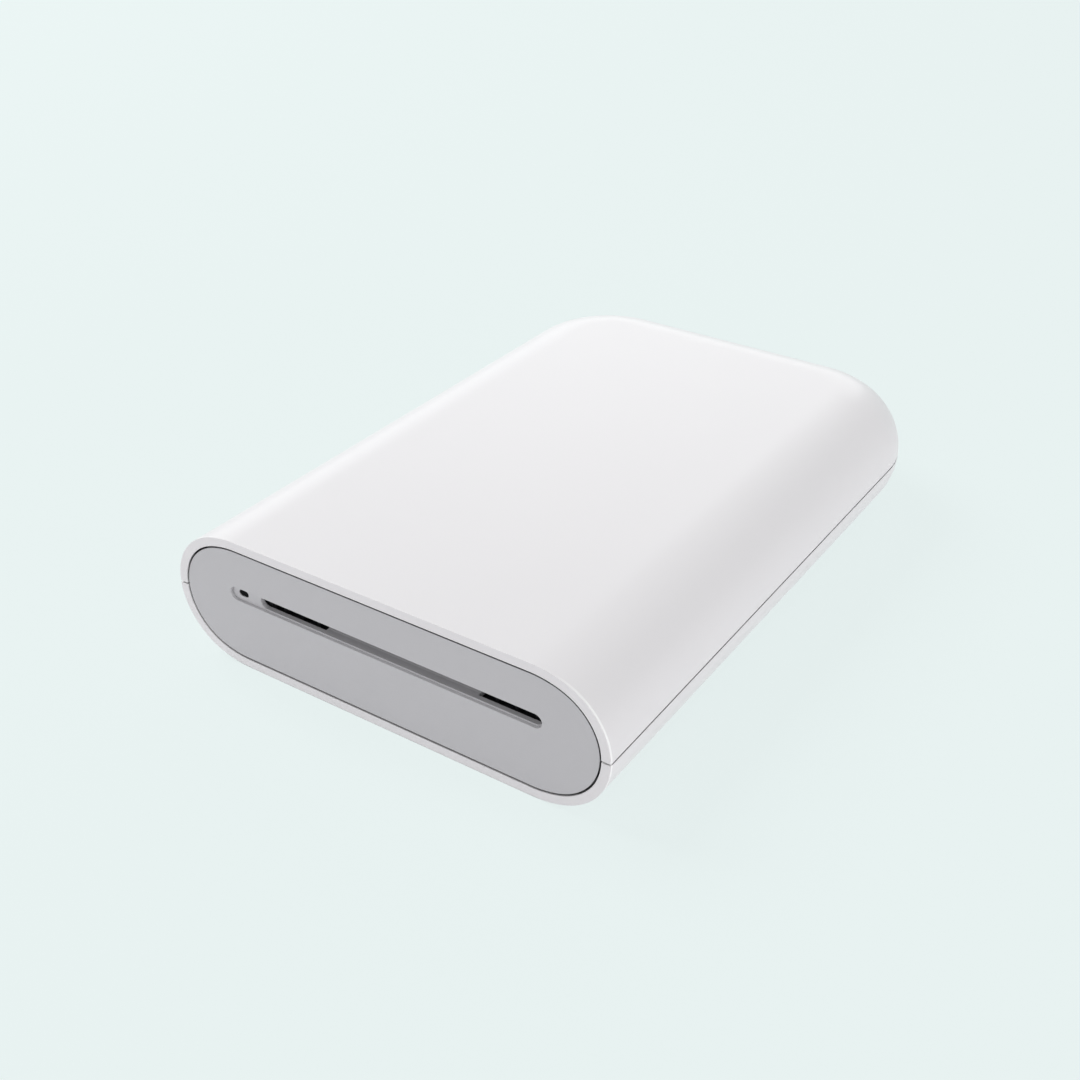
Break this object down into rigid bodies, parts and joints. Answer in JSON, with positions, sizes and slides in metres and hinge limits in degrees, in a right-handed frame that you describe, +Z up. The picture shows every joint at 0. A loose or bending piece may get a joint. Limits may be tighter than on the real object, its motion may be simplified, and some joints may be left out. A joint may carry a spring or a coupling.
{
  "type": "compact photo printer",
  "caption": "Flat, rounded pocket photo printer with a rear-hinged cover over a paper tray, a front exit slot and a geared print engine inside.",
  "frame": {"origin": "centre of the footprint, on the surface that the printer lies on", "axes": "+Z up, +Y from the paper exit to the rear with the cover hinge, +X to the right as seen from the front"},
  "size_m": [0.0852, 0.124, 0.0248],
  "materials": {
    "white_plastic": "fine satin white, lightly textured",
    "grey_plastic": "smooth mid grey, satin",
    "black_plastic": "fine matte black",
    "dark_plastic": "matte dark grey",
    "smoked_plastic": "smoke-tinted lens, black while the lamp is off",
    "led_body": "small moulded lamp",
    "acetal": "natural acetal",
    "steel": "plain ground steel",
    "zinc_steel": "zinc-plated sheet",
    "aluminium": "die-cast, matt",
    "ceramic": "glazed ceramic strip",
    "bronze": "sintered bronze",
    "brass": "turned brass",
    "roller_rubber": "ground rubber",
    "tyre_rubber": "soft rubber",
    "cork_pad": "cork and rubber pad",
    "green_board": "solder-masked circuit board",
    "chip_black": "moulded packages",
    "white_nylon": "connector nylon",
    "battery_foil": "laminated foil pouch",
    "red_wire": "insulated wire",
    "amber_film": "polyimide film"
  },
  "bodies": {
    "case": {"lower_shell": "white_plastic", "front_panel": "grey_plastic", "exit_guide": "black_plastic", "light_pipe": "smoked_plastic", "status_led": "led_body", "led_board": "green_board", "inner_frame": "black_plastic", "frame_screws": "steel", "engine_cover": "black_plastic", "engine_frame": "zinc_steel", "engine_screws": "steel", "head_bridge": "zinc_steel", "head_springs": "steel", "feed_guide": "dark_plastic", "paper_sensor": "chip_black", "platen_bushes": "bronze", "pickup_bushes": "bronze", "gear_posts": "steel", "motor_can": "zinc_steel", "motor_screws": "steel", "main_board": "green_board", "board_chips": "chip_black", "board_screws": "steel", "usb_socket": "steel", "power_switch": "chip_black", "reset_switch": "chip_black", "battery_cells": "battery_foil", "battery_lead": "red_wire", "battery_plug": "white_nylon", "flex_cable": "amber_film"},
    "cover": {"top_cover": "white_plastic", "hinge_pins": "steel", "lifter_springs": "steel"},
    "lifter": {"paper_lifter": "dark_plastic", "lifter_pad": "cork_pad"},
    "print_head": {"heat_sink": "aluminium", "head_strip": "ceramic", "head_pivots": "steel", "head_connector": "white_nylon"},
    "platen": {"platen_shaft": "steel", "platen_sleeve": "roller_rubber", "platen_gear": "acetal", "platen_clip": "steel"},
    "pickup": {"pickup_shaft": "acetal", "pickup_tyres": "tyre_rubber", "pickup_gear": "acetal", "pickup_clip": "steel"},
    "front_idler_gear": {"front_idler": "acetal"},
    "middle_idler_gear": {"middle_idler": "acetal"},
    "rear_idler_gear": {"rear_idler": "acetal"},
    "reduction": {"reduction_gear": "acetal"},
    "motor_rotor": {"motor_shaft": "steel", "motor_pinion": "brass"},
    "button": {"power_button": "white_plastic", "switch_plunger": "white_nylon"}
  },
  "joints": [
    {"name": "cover_hinge", "type": "hinge", "parent": "case", "child": "cover", "pos_m": [0, 0.0598, 0.0124], "axis": [-1, 0, 0], "range_deg": [0, 80]},
    {"name": "lifter_swing", "type": "hinge", "parent": "cover", "child": "lifter", "pos_m": [0.0035, -0.004, 0.0214], "axis": [-1, 0, 0], "range_deg": [0, 12], "stiffness_Nm_per_rad": 0.004, "springref_deg": -5.73, "deforming": ["lifter_springs"]},
    {"name": "head_lift", "type": "hinge", "parent": "case", "child": "print_head", "pos_m": [0.0035, -0.0395, 0.017], "axis": [-1, 0, 0], "range_deg": [0, 4], "stiffness_Nm_per_rad": 0.02, "springref_deg": -2.86, "deforming": ["head_springs"]},
    {"name": "platen_spin", "type": "hinge", "parent": "case", "child": "platen", "pos_m": [-0.0267, -0.048, 0.0107], "axis": [1, 0, 0], "continuous": true},
    {"name": "pickup_spin", "type": "hinge", "parent": "case", "child": "pickup", "pos_m": [-0.0267, -0.022, 0.0114], "axis": [1, 0, 0], "continuous": true},
    {"name": "front_idler_spin", "type": "hinge", "parent": "case", "child": "front_idler_gear", "pos_m": [-0.0267, -0.04117, 0.01299], "axis": [1, 0, 0], "continuous": true},
    {"name": "middle_idler_spin", "type": "hinge", "parent": "case", "child": "middle_idler_gear", "pos_m": [-0.0267, -0.03511, 0.01503], "axis": [1, 0, 0], "continuous": true},
    {"name": "rear_idler_spin", "type": "hinge", "parent": "case", "child": "rear_idler_gear", "pos_m": [-0.0267, -0.02894, 0.01332], "axis": [1, 0, 0], "continuous": true},
    {"name": "reduction_spin", "type": "hinge", "parent": "case", "child": "reduction", "pos_m": [-0.0267, -0.03511, 0.00943], "axis": [1, 0, 0], "continuous": true},
    {"name": "motor_spin", "type": "hinge", "parent": "case", "child": "motor_rotor", "pos_m": [-0.0267, -0.02701, 0.0072], "axis": [1, 0, 0], "continuous": true},
    {"name": "power_press", "type": "slide", "parent": "case", "child": "button", "axis": [0, -1, 0], "range_m": [0, 0.0005], "stiffness_N_per_m": 300}
  ],
  "couplings": [
    {"joint": "front_idler_spin", "follows": "platen_spin", "ratio": -1.25},
    {"joint": "middle_idler_spin", "follows": "platen_spin", "ratio": 1.25},
    {"joint": "rear_idler_spin", "follows": "platen_spin", "ratio": -1.25},
    {"joint": "pickup_spin", "follows": "platen_spin", "ratio": 1},
    {"joint": "reduction_spin", "follows": "platen_spin", "ratio": -1.6667},
    {"joint": "motor_spin", "follows": "platen_spin", "ratio": 4.1667}
  ]
}
